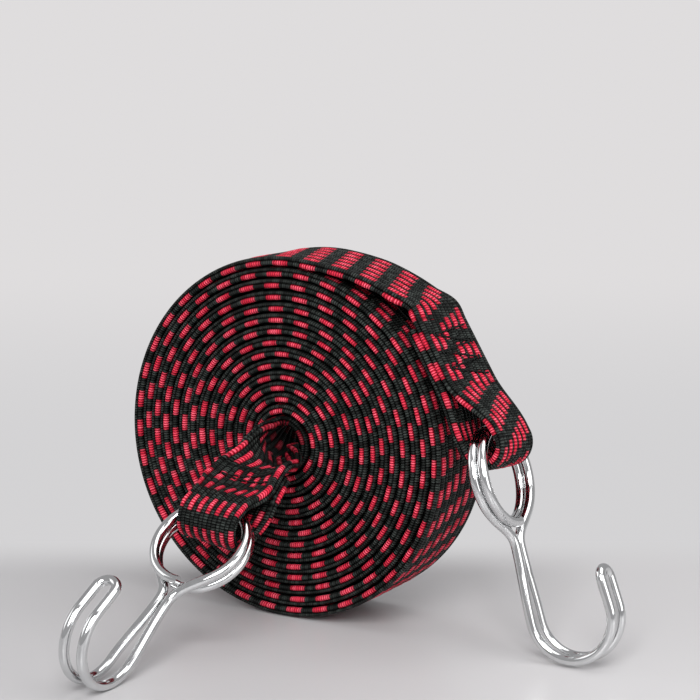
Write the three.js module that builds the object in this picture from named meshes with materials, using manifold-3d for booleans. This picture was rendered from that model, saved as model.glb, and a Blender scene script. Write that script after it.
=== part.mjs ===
// Flat bungee strap: a woven elastic strap rolled up on its edge, with a sewn loop and a doubled wire hook
// at each end. Millimetres, +Z up, origin in the middle of the flat that the roll stands on.
// X runs across the roll, Y along its axis (the strap's width), and the front face looks towards -Y.
import * as THREE from 'three';
import { mergeVertices } from 'three/addons/utils/BufferGeometryUtils.js';
import Module from 'manifold-3d';

const wasm = await Module();
wasm.setup();

// Strap section: a woven jacket round a flat row of rubber strands
const STRAP_WIDTH = 40;
const STRAP_THICKNESS = 4.1;
const SELVEDGE = 1.6;
const JACKET_WALL = 0.9;
const RUBBER_CLEARANCE = 0.3;

// Roll
const ROLL_RADIUS = 77.5;
const CORE_RADIUS = 14.2;
const TURN_GAP = 0.6;
const STEPS_PER_TURN = 24;
const LEAVE_ANGLE = 82.5;
const FOOT_DEPTH = 0.5;

// Sewn ends: how the doubled strap lies (degrees), its length to the hook's pivot, the seam in it, how much
// it is bent up into a trough (one over the radius) and twisted (degrees), and where it starts: the rear one
// in roll radii from where the strap leaves the roll, the front one from the roll's front
const REAR_END = {
  azimuth: -9, dip: 56, roll: 10.8, length: 50.7, seamLength: 26, strokes: 6, trough: 0, twist: 0,
};
const REAR_PLACE = [0.66065, 0, -0.2942];
const FRONT_END = {
  azimuth: -96, dip: 28, roll: 8, length: 24, seamLength: 9, strokes: 2, trough: 1 / 46, twist: 14,
};
const FRONT_PLACE = [-0.8, -16.9, -11.2];
const LOOP_WIDTH = 28;
const LOOP_SLACK = 3;
const SEAM_WIDTH = 28;
const SEAM_INSET = 3;
const TAIL_INSET = 1.5;
const THREAD_DIAMETER = 0.9;
const STROKE_ROUNDING = 0.15;

// Outer lead: points along the strap's middle from where it leaves the roll, in X and Z, in roll radii
const OUTER_ROUTE = [[0.1265, -0.0181], [0.2542, -0.0439], [0.4, -0.0929], [0.5226, -0.1471]];
const APPROACH = 7;
// Inner lead: it runs on in the spiral to an angle in degrees, turns in its own surface towards the front,
// tightly round its front edge, and opens out to the sewn end. Midway there it leans, shifts towards the rear
// hook's side, and is bunched by a share of its width.
const TURN_START = 430;
const TURN_MARGIN = 2;
const OPENING = 0.8;
const BUNCHING = 0.15;
const LEAN = 0.12;
const SHIFT = 5;

// Hook: one wire, doubled
const WIRE_DIAMETER = 4;
const WIRE_GAP = 0.3;
const RING_RADIUS = 18.9;
const RING_OVERLAP = 6;
const LEG_ANGLE = 48;
const NECK_LENGTH = 9.5;
const SHANK_LENGTH = 58.5;
const BEND_RADIUS = 17;
const BEND_ANGLE = 184;
const TIP_LENGTH = 10;
const TIP_SPREAD = 8.6;
const LEG_EASE = 9.5;
const NECK_EASE = 7;

// Fits
const SEAT_GAP = 0.3;
const LOOP_CLEARANCE = 0.3;
const WIRE_SIDES = 8;
const THREAD_SIDES = 5;

const rad = THREE.MathUtils.degToRad;
const vec = (x, y, z) => new THREE.Vector3(x, y, z);
const smooth = (t) => THREE.MathUtils.smoothstep(t, 0, 1);

// Sections. Each is a closed outline in X (across the strap) and Y (through it), turning left.
function jacketOutline(splits) {
  const flat = STRAP_WIDTH / 2 - SELVEDGE;
  const half = STRAP_THICKNESS / 2;
  const points = [];
  for (let i = 0; i <= splits; i++) points.push(new THREE.Vector2(flat * (2 * i / splits - 1), -half));
  points.push(new THREE.Vector2(STRAP_WIDTH / 2, 0));
  for (let i = 0; i <= splits; i++) points.push(new THREE.Vector2(flat * (1 - 2 * i / splits), half));
  points.push(new THREE.Vector2(-STRAP_WIDTH / 2, 0));
  return points;
}

function flatOutline(width, thickness, splits) {
  const half = thickness / 2;
  const points = [];
  for (let i = 0; i <= splits; i++) points.push(new THREE.Vector2(width * (i / splits - 0.5), -half));
  for (let i = 0; i <= splits; i++) points.push(new THREE.Vector2(width * (0.5 - i / splits), half));
  return points;
}

const cavityOutline = (splits) => flatOutline(
  STRAP_WIDTH - 2 * SELVEDGE, STRAP_THICKNESS - 2 * JACKET_WALL, splits);
const rubberOutline = (splits) => flatOutline(
  STRAP_WIDTH - 2 * SELVEDGE - 2 * RUBBER_CLEARANCE,
  STRAP_THICKNESS - 2 * JACKET_WALL - 2 * RUBBER_CLEARANCE, splits);

function roundOutline(diameter, sides) {
  return Array.from({ length: sides }, (_, i) => {
    const turn = 2 * Math.PI * (i + 0.5) / sides;
    return new THREE.Vector2(Math.cos(turn), Math.sin(turn)).multiplyScalar(diameter / 2);
  });
}

// A station is a place on a path, with travel along side x normal, that sets the section's points in space.
// Its width scales the section, and its curl (one over the radius) bends the edges away from the normal.
function station(centre, edge, travel, width = STRAP_WIDTH, curl = 0) {
  const along = travel.clone().normalize();
  const normal = along.clone().cross(edge).normalize();
  const side = normal.clone().cross(along);
  const place = ({ x, y }) => {
    const across = x * width / STRAP_WIDTH;
    const reach = curl ? (1 / curl + y) * Math.sin(curl * across) : across;
    const rise = curl ? (1 / curl + y) * Math.cos(curl * across) - 1 / curl : y;
    return centre.clone().addScaledVector(side, reach).addScaledVector(normal, rise);
  };
  return { centre, side, normal, place };
}

// Loft of an outline through the stations, closed at both ends, with an optional hole right through
function loft(stations, outline, hole = []) {
  const inner = [...hole].reverse();
  const ring = [...outline, ...inner];
  const positions = stations.flatMap(({ place }) => ring.flatMap((point) => place(point).toArray()));
  const index = [];
  const wall = (first, count, flipped) => {
    for (let i = 0; i + 1 < stations.length; i++) {
      for (let k = 0; k < count; k++) {
        const a = i * ring.length + first + k;
        const b = i * ring.length + first + (k + 1) % count;
        const [c, d] = [a + ring.length, b + ring.length];
        index.push(...(flipped ? [a, b, c, b, d, c] : [a, b, d, a, d, c]));
      }
    }
  };
  wall(0, outline.length, false);
  wall(outline.length, inner.length, true);
  const last = (stations.length - 1) * ring.length;
  for (const [a, b, c] of THREE.ShapeUtils.triangulateShape(outline, inner.length ? [inner] : [])) {
    const left = THREE.ShapeUtils.area([ring[a], ring[b], ring[c]]) > 0;
    const [p, q] = left ? [b, c] : [c, b];
    index.push(a, q, p, last + a, last + p, last + q);
  }
  const geometry = new THREE.BufferGeometry();
  geometry.setAttribute('position', new THREE.Float32BufferAttribute(positions, 3));
  geometry.setIndex(index);
  return geometry;
}

// Round wire or thread through points, its section carried along without twist
function tube(points, diameter, sides) {
  const tangents = points.map((p, i) => points[Math.min(i + 1, points.length - 1)].clone()
    .sub(points[Math.max(i - 1, 0)]).normalize());
  const side = vec(1, 0, 0).cross(tangents[0]).normalize();
  const stations = points.map((p, i) => {
    side.addScaledVector(tangents[i], -side.dot(tangents[i])).normalize();
    return station(p, side.clone(), tangents[i]);
  });
  return loft(stations, roundOutline(diameter, sides));
}

function solid(geometry) {
  const bare = geometry.clone();
  bare.deleteAttribute('normal');
  bare.deleteAttribute('uv');
  const merged = mergeVertices(bare, 1e-4);
  return new wasm.Manifold(new wasm.Mesh({
    numProp: 3,
    vertProperties: new Float32Array(merged.attributes.position.array),
    triVerts: new Uint32Array(merged.index.array),
  }));
}

function geometryOf(manifold) {
  const mesh = manifold.getMesh();
  const geometry = new THREE.BufferGeometry();
  geometry.setAttribute('position', new THREE.BufferAttribute(mesh.vertProperties, mesh.numProp));
  geometry.setIndex(new THREE.BufferAttribute(mesh.triVerts, 1));
  return geometry;
}

// Looks, one material for each piece
const looks = {
  webbing: { color: 0xb3223f, roughness: 0.85, metalness: 0 },
  rubber: { color: 0xd8d2c4, roughness: 0.7, metalness: 0 },
  wire: { color: 0xd7dade, roughness: 0.18, metalness: 1 },
  thread: { color: 0x1d2422, roughness: 0.8, metalness: 0 },
};

function piece(name, look, geometry) {
  geometry.computeVertexNormals();
  const mesh = new THREE.Mesh(geometry, new THREE.MeshStandardMaterial(looks[look]));
  mesh.name = name;
  return mesh;
}

// The roll: an even spiral from the outer lead, over the top towards -X, in to the inner lead, with as many
// whole turns as it takes outside its core
const turnPitch = STRAP_THICKNESS + TURN_GAP;
const stepAngle = 2 * Math.PI / STEPS_PER_TURN;
const axisHeight = (ROLL_RADIUS - turnPitch / 2) * Math.cos(stepAngle / 2) - FOOT_DEPTH;
const outerRadius = ROLL_RADIUS - STRAP_THICKNESS / 2;
const rollSteps = Math.floor((outerRadius - CORE_RADIUS) / turnPitch) * STEPS_PER_TURN;

const leaveAngle = rad(LEAVE_ANGLE);
const spiralRadius = (angle) => outerRadius - turnPitch * (angle - leaveAngle) / (2 * Math.PI);
const onSpiral = (angle, y, rise) => vec(Math.cos(angle), 0, Math.sin(angle))
  .multiplyScalar(spiralRadius(angle) + rise).add(vec(0, y, axisHeight));

function spiralStation(angle) {
  return station(onSpiral(angle, 0, 0), vec(0, -1, 0), vec(-Math.sin(angle), 0, Math.cos(angle)));
}

const rollStations = Array.from(
  { length: rollSteps + 1 }, (_, i) => spiralStation(leaveAngle + i * stepAngle));

// Least gap between one turn and the next, on the points of their facing sides
function leastTurnGap() {
  const half = STRAP_THICKNESS / 2;
  const outer = rollStations.map((st) => st.centre.clone().addScaledVector(st.normal, half));
  const inner = rollStations.map((st) => st.centre.clone().addScaledVector(st.normal, -half));
  let least = Infinity;
  for (let i = 0; i < inner.length; i++) {
    for (let k = i + STEPS_PER_TURN / 2; k < outer.length; k++) {
      least = Math.min(least, inner[i].distanceTo(outer[k]));
    }
  }
  return least;
}
console.log(`least gap between turns ${leastTurnGap().toFixed(2)} mm`);

function rollJacket() {
  const below = new THREE.BoxGeometry(2 * ROLL_RADIUS, 2 * STRAP_WIDTH, ROLL_RADIUS);
  below.translate(0, 0, -ROLL_RADIUS / 2);
  return geometryOf(solid(loft(rollStations, jacketOutline(1), cavityOutline(1))).subtract(solid(below)));
}

// Sewn end, in its own frame: X across the strap, Y along the pull from the start of the doubled strap to the
// hook's pivot and on, Z out of the side where the lead comes in
const ringSag = RING_RADIUS - Math.sqrt(RING_RADIUS ** 2 - (LOOP_WIDTH / 2) ** 2);
const ringLevel = (WIRE_DIAMETER + WIRE_GAP) / 2;
const loopInner = Math.hypot(ringSag / 2, ringLevel) + WIRE_DIAMETER / 2 + LOOP_CLEARANCE;
const loopRadius = loopInner + STRAP_THICKNESS / 2;
const layerHeight = (STRAP_THICKNESS + SEAT_GAP) / 2;

// Curl of the doubled strap at a height over its middle: the layers of a trough share its axis
const troughCurl = (end, z) => end.trough / (1 - end.trough * z);

function loopStations(end) {
  const mouth = end.length - end.seamLength;
  const spread = (y) => smooth((y - end.seamLength) / mouth);
  const row = (y, sign) => ({
    y,
    z: sign * (layerHeight + (loopRadius - layerHeight) * spread(y)),
    width: STRAP_WIDTH + (LOOP_WIDTH - STRAP_WIDTH) * spread(y),
    curl: sign * troughCurl(end, sign * layerHeight) * (1 - spread(y)),
  });
  const flare = [0, 0.2, 0.4, 0.55, 0.7, 0.85, 1].map((t) => end.seamLength + t * mouth);
  const rows = [row(0, 1), row(end.seamLength / 2, 1), ...flare.map((y) => row(y, 1))];
  const foldSteps = 12;
  for (let i = 0; i <= foldSteps; i++) {
    const turn = Math.PI * (0.5 - i / foldSteps);
    const y = end.length + LOOP_SLACK + loopRadius * Math.cos(turn);
    rows.push({ y, z: loopRadius * Math.sin(turn), width: LOOP_WIDTH, curl: 0 });
  }
  rows.push(...flare.reverse().map((y) => row(y, -1)), row(TAIL_INSET, -1));
  const centres = rows.map(({ y, z }) => vec(0, y, z));
  return rows.map(({ width, curl }, i) => {
    const travel = centres[Math.min(i + 1, rows.length - 1)].clone().sub(centres[Math.max(i - 1, 0)]);
    return station(centres[i], vec(1, 0, 0), travel, width, curl);
  });
}

// A seam's thread on one face of the doubled strap: strokes to and fro across it
function seamThread(end, sign) {
  const z = sign * (layerHeight + STRAP_THICKNESS / 2 + SEAT_GAP + THREAD_DIAMETER / 2);
  const face = station(vec(0, 0, z), vec(1, 0, 0), vec(0, -1, 0), STRAP_WIDTH, -troughCurl(end, z));
  const corners = [];
  for (let i = 0; i <= end.strokes; i++) {
    const y = SEAM_INSET + (end.seamLength - SEAM_INSET - THREAD_DIAMETER) * i / end.strokes;
    corners.push(vec((i % 2 ? 0.5 : -0.5) * SEAM_WIDTH, y, 0));
  }
  const curve = new THREE.CatmullRomCurve3(corners, false, 'catmullrom', STROKE_ROUNDING);
  const stepsPerStroke = 5;
  const points = curve.getPoints(end.strokes * stepsPerStroke)
    .map(({ x, y }) => face.place({ x, y: 0 }).setY(y));
  return tube(points, THREAD_DIAMETER, THREAD_SIDES);
}

// Hook wire, with the pivot at the origin, X across the ring, Y from the ring to the bend and Z to the side
// of the tip. One leg's half of it: once round the ring on its own level and down to the neck
const ringCentre = RING_RADIUS - ringSag / 2;

function ringHalf() {
  const onRing = (degrees) => vec(
    RING_RADIUS * Math.sin(rad(degrees)), ringCentre + RING_RADIUS * Math.cos(rad(degrees)), ringLevel);
  const [ringSteps, legSteps] = [27, 8];
  const sweep = 360 - LEG_ANGLE + RING_OVERLAP;
  const points = Array.from(
    { length: ringSteps + 1 }, (_, i) => onRing(-RING_OVERLAP + sweep * i / ringSteps));
  const joint = points[ringSteps];
  const neck = vec(-ringLevel, ringCentre + RING_RADIUS + NECK_LENGTH, 0);
  const onward = vec(Math.cos(rad(LEG_ANGLE)), Math.sin(rad(LEG_ANGLE)), 0);
  const leg = new THREE.CubicBezierCurve3(
    joint, joint.clone().addScaledVector(onward, LEG_EASE), neck.clone().add(vec(0, -NECK_EASE, 0)), neck);
  return [...points, ...leg.getPoints(legSteps).slice(1)];
}

// The rest of that half: the bend at the end of the shank, the tip's arm and half of the hairpin
function bendHalf() {
  const [bendSteps, hairpinSteps] = [15, 5];
  const arm = -TIP_SPREAD / 2;
  const end = rad(BEND_ANGLE);
  const bend = Array.from({ length: bendSteps + 1 }, (_, i) => {
    const turn = end * i / bendSteps;
    const y = ringCentre + SHANK_LENGTH + BEND_RADIUS * Math.sin(turn);
    return vec(arm, y, BEND_RADIUS * (1 - Math.cos(turn)));
  });
  const onward = vec(0, Math.cos(end), Math.sin(end));
  const hairpin = Array.from({ length: hairpinSteps + 1 }, (_, i) => {
    const turn = Math.PI / 2 * i / hairpinSteps;
    const point = bend[bendSteps].clone().addScaledVector(onward, TIP_LENGTH - arm * Math.sin(turn));
    return point.setX(arm * Math.cos(turn));
  });
  return [...bend, ...hairpin];
}

// The other leg is the first one turned half round about the shank
function hookPath() {
  const [ring, bend] = [ringHalf(), bendHalf()];
  const otherRing = ring.map((p) => vec(-p.x, p.y, -p.z)).reverse();
  const otherBend = bend.slice(0, -1).map((p) => vec(-p.x, p.y, p.z)).reverse();
  return [...ring, ...bend, ...otherBend, ...otherRing];
}

const hookPoints = hookPath();

// Places an end's frame: pull along its azimuth and dip, then rolled about the pull
function endGroup(end, at) {
  const [azimuth, dip] = [rad(end.azimuth), rad(end.dip)];
  const pull = vec(Math.cos(dip) * Math.cos(azimuth), Math.cos(dip) * Math.sin(azimuth), -Math.sin(dip));
  const across = vec(Math.sin(azimuth), -Math.cos(azimuth), 0).applyAxisAngle(pull, -rad(end.roll));
  const group = new THREE.Group();
  group.position.copy(at);
  group.quaternion.setFromRotationMatrix(
    new THREE.Matrix4().makeBasis(across, pull, across.clone().cross(pull)));
  group.updateMatrixWorld(true);
  return group;
}

// The hook swings down from the line of its strap until its wire meets the floor, or hangs straight
function restSwing(group, end) {
  const pivot = vec(0, end.length, 0);
  const height = (p, swing) => group.localToWorld(
    p.clone().applyAxisAngle(vec(1, 0, 0), swing).add(pivot)).z - WIRE_DIAMETER / 2;
  const lowest = (swing) => Math.min(...hookPoints.map((p) => height(p, swing)));
  let [high, low] = [0, -rad(90 - end.dip)];
  if (lowest(low) > 0) return low;
  const halvings = 40;
  for (let i = 0; i < halvings; i++) {
    const middle = (high + low) / 2;
    if (lowest(middle) > 0) high = middle;
    else low = middle;
  }
  return high;
}

// A sewn end twists about the pull, from nothing at the ring to its full twist where the lead comes in
function twisted(point, end) {
  const share = 1 - smooth(point.y / end.length);
  return point.applyAxisAngle(vec(0, 1, 0), rad(end.twist) * share);
}

function twistedGeometry(geometry, end) {
  const spots = geometry.getAttribute('position');
  for (let i = 0; i < spots.count; i++) {
    spots.setXYZ(i, ...twisted(vec(0, 0, 0).fromBufferAttribute(spots, i), end));
  }
  return geometry;
}

function sewnEnd(name, end, at) {
  const group = endGroup(end, at);
  const stations = loopStations(end);
  const splits = end.trough ? 5 : 1;
  const soft = {
    loop_webbing: ['webbing', loft(stations, jacketOutline(splits), cavityOutline(splits))],
    loop_rubber: ['rubber', loft(stations, rubberOutline(splits))],
    needle_thread: ['thread', seamThread(end, 1)],
    bobbin_thread: ['thread', seamThread(end, -1)],
  };
  for (const [part, [look, geometry]] of Object.entries(soft)) {
    group.add(piece(`${name}_${part}`, look, twistedGeometry(geometry, end)));
  }
  const hook = piece(`${name}_hook`, 'wire', tube(hookPoints, WIRE_DIAMETER, WIRE_SIDES));
  hook.position.y = end.length;
  hook.rotation.x = restSwing(group, end);
  group.add(hook);
  return group;
}

// Where a sewn end takes its lead: the middle of its first section
const leadJoint = (group, end) => group.localToWorld(twisted(vec(0, 0, layerHeight), end));
const axisOf = (group, x, y, z) => vec(x, y, z).applyQuaternion(group.quaternion);

function lead(name, stations, splits) {
  const group = new THREE.Group();
  const jacket = loft(stations, jacketOutline(splits), cavityOutline(splits));
  group.add(piece(`${name}_lead_webbing`, 'webbing', jacket));
  group.add(piece(`${name}_lead_rubber`, 'rubber', loft(stations, rubberOutline(splits))));
  return group;
}

function outerLead(rearEnd) {
  const start = rollStations[0];
  const back = start.side.clone().cross(start.normal).negate();
  const pull = axisOf(rearEnd, 0, 1, 0);
  const joint = leadJoint(rearEnd, REAR_END).addScaledVector(pull, -SEAT_GAP);
  const curve = new THREE.CatmullRomCurve3([
    start.centre.clone().addScaledVector(back, SEAT_GAP),
    ...OUTER_ROUTE.map(([x, z]) => start.centre.clone().addScaledVector(vec(x, 0, z), ROLL_RADIUS)),
    joint.clone().addScaledVector(pull, -APPROACH),
    joint,
  ]);
  const [from, to] = [vec(0, 1, 0), axisOf(rearEnd, -1, 0, 0)];
  const steps = 14;
  const stations = Array.from({ length: steps + 1 }, (_, i) => {
    const t = i / steps;
    const travel = i === 0 ? back : i === steps ? pull : curve.getTangentAt(t);
    return station(curve.getPointAt(t), from.clone().lerp(to, smooth(t)), travel);
  });
  return lead('outer', stations, 1);
}

// A section that lies in the spiral's surface, turned from the roll's run towards the front
function turningStation(start, turn) {
  const radius = STRAP_WIDTH / 2 + TURN_MARGIN;
  const mean = spiralRadius(start + radius / spiralRadius(start));
  const centre = { angle: start + radius * Math.sin(turn) / mean, y: -radius * (1 - Math.cos(turn)) };
  const place = ({ x, y }) => onSpiral(
    centre.angle - x * Math.sin(turn) / mean, centre.y - x * Math.cos(turn), y);
  const out = vec(Math.cos(centre.angle), 0, Math.sin(centre.angle));
  const side = vec(Math.sin(centre.angle), 0, -Math.cos(centre.angle));
  return { centre: onSpiral(centre.angle, centre.y, 0), side, normal: out, place, curl: 1 / mean };
}

function innerLead(frontEnd) {
  const rollEnd = leaveAngle + rollSteps * stepAngle;
  const first = rollEnd + SEAT_GAP / spiralRadius(rollEnd);
  const start = rollEnd + rad(TURN_START - LEAVE_ANGLE);
  const [runSteps, turnSteps, openSteps, splits] = [16, 10, 8, 6];
  const stations = [];
  for (let i = 0; i < runSteps; i++) stations.push(spiralStation(first + (start - first) * i / runSteps));
  for (let i = 0; i <= turnSteps; i++) stations.push(turningStation(start, Math.PI / 2 * i / turnSteps));
  const mouth = stations[stations.length - 1];
  const pull = axisOf(frontEnd, 0, 1, 0);
  const joint = leadJoint(frontEnd, FRONT_END).addScaledVector(pull, -SEAT_GAP);
  for (let i = 1; i <= openSteps; i++) {
    const t = i / openSteps;
    const midway = Math.sin(Math.PI * t);
    const side = mouth.side.clone().lerp(axisOf(frontEnd, ...twisted(vec(1, 0, 0), FRONT_END)), t);
    stations.push(station(
      mouth.centre.clone().lerp(joint, t).addScaledVector(side, -SHIFT * midway),
      side.addScaledVector(vec(0, 0, -1), LEAN * midway), vec(0, -1, 0).lerp(pull, t),
      STRAP_WIDTH * (1 - BUNCHING * midway),
      THREE.MathUtils.lerp(mouth.curl, troughCurl(FRONT_END, layerHeight), t ** OPENING)));
  }
  return lead('inner', stations, splits);
}

const rearEnd = sewnEnd(
  'rear', REAR_END, rollStations[0].centre.clone().addScaledVector(vec(...REAR_PLACE), ROLL_RADIUS));
const frontEnd = sewnEnd(
  'front', FRONT_END, vec(0, -STRAP_WIDTH / 2, axisHeight).add(vec(...FRONT_PLACE)));

const strap = new THREE.Group();
strap.add(piece('roll_webbing', 'webbing', rollJacket()));
strap.add(piece('roll_rubber', 'rubber', loft(rollStations, rubberOutline(1))));
strap.add(outerLead(rearEnd), innerLead(frontEnd), rearEnd, frontEnd);

export default strap;
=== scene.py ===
"""Flat bungee strap, rolled up on its edge, with a doubled wire hook sewn into each end.

The strap is one length of ribbed elastic weave. Its path is worked out in millimetres from the same sizes
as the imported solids: rear tail, rear loop, outer lead, thirteen turns, inner lead, front loop, front tail.
It is drawn in three stretches, because the turns within the roll show only their edges and need few faces.
"""
import logging
import math
from collections.abc import Callable
from dataclasses import dataclass, field
from enum import Enum

import bpy
import numpy as np
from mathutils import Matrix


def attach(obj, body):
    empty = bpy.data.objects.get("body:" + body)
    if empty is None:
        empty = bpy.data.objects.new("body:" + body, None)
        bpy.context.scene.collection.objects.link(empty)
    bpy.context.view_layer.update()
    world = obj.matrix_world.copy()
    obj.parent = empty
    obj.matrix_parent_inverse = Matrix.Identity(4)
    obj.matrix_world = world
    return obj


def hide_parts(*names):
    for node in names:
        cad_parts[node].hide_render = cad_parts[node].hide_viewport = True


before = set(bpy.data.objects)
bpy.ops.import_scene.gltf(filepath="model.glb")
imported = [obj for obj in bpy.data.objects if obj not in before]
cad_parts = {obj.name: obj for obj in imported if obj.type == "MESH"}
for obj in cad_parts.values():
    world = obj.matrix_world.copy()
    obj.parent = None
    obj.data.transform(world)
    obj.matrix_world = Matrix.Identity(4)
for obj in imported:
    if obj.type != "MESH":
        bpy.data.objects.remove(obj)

log = logging.getLogger("bungee_strap")

MILLIMETRE = 0.001
FULL_TURN = 2 * math.pi
Socket = bpy.types.NodeSocket
Value = Socket | float | tuple


def vec(x: float, y: float, z: float) -> np.ndarray:
    """Point or direction as an array."""
    return np.array([x, y, z], dtype=float)


def unit(direction: np.ndarray) -> np.ndarray:
    """Direction with length one."""
    return direction / np.linalg.norm(direction)


def smooth(t: np.ndarray | float) -> np.ndarray | float:
    """Smooth step from 0 to 1."""
    held = np.clip(t, 0.0, 1.0)
    return held * held * (3 - 2 * held)


def mix(a: np.ndarray | float, b: np.ndarray | float, t: float) -> np.ndarray | float:
    """Value between a and b."""
    return a + (b - a) * t


def turned(direction: np.ndarray, axis: np.ndarray, angle: float) -> np.ndarray:
    """Direction turned about an axis.

    Args:
        direction: Direction to turn.
        axis: Axis of length one.
        angle: Angle in radians, by the right hand.

    Returns:
        The turned direction.
    """
    across = np.cross(axis, direction)
    along = axis * np.dot(axis, direction)
    return along + (direction - along) * math.cos(angle) + across * math.sin(angle)


def curve_through(points: list[np.ndarray], step: float) -> list[np.ndarray]:
    """Smooth curve through points, by centripetal Catmull-Rom spans.

    Args:
        points: Points to pass through, ends included.
        step: Greatest distance between the points that come back.

    Returns:
        Points along the curve.
    """
    first = 2 * points[0] - points[1]
    last = 2 * points[-1] - points[-2]
    hull = [first, *points, last]
    made = [points[0]]
    for p0, p1, p2, p3 in zip(hull, hull[1:], hull[2:], hull[3:]):
        knots = [0.0]
        for a, b in ((p0, p1), (p1, p2), (p2, p3)):
            knots.append(knots[-1] + math.sqrt(np.linalg.norm(b - a)))
        t0, t1, t2, t3 = knots
        count = max(1, math.ceil(np.linalg.norm(p2 - p1) / step))
        for i in range(1, count + 1):
            t = mix(t1, t2, i / count)
            a1 = mix(p0, p1, (t - t0) / (t1 - t0))
            a2 = mix(p1, p2, (t - t1) / (t2 - t1))
            a3 = mix(p2, p3, (t - t2) / (t3 - t2))
            b1 = mix(a1, a2, (t - t0) / (t2 - t0))
            b2 = mix(a2, a3, (t - t1) / (t3 - t1))
            made.append(mix(b1, b2, (t - t1) / (t2 - t1)))
    return made


class Weave(Enum):
    """How a rib of the strap is woven."""

    BLACK = 0.0
    DASHED = 1.0


class Detail(Enum):
    """How much of the strap's section is drawn."""

    FULL = "every rib"
    EDGES = "ribs on the edges only"


@dataclass(frozen=True)
class Rib:
    """One lengthwise rib of the strap's section.

    Args:
        weave: How it is woven.
        points: Its outline in X (across) and Y (through), from groove to groove.
        centre: Point that its yarn swells away from, or None where it stays even.
        shift: How far its dashes lie along the strap from those of the first rib, in millimetres.
    """

    weave: Weave
    points: tuple[tuple[float, float], ...]
    centre: tuple[float, float] | None
    shift: float

    def across(self) -> np.ndarray:
        """Place of each point across the rib, from -1 to 1."""
        return np.linspace(-1, 1, len(self.points))

    def swell(self) -> np.ndarray:
        """Direction in which each point swells with the yarn.

        Returns:
            One row for each point: outwards, and nought in the grooves and on black ribs.
        """
        if self.centre is None or self.weave is Weave.BLACK:
            return np.zeros((len(self.points), 2))
        away = np.array(self.points) - np.array(self.centre)
        away /= np.linalg.norm(away, axis=1)[:, None]
        return away * (1 - self.across() ** 2)[:, None]


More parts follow.
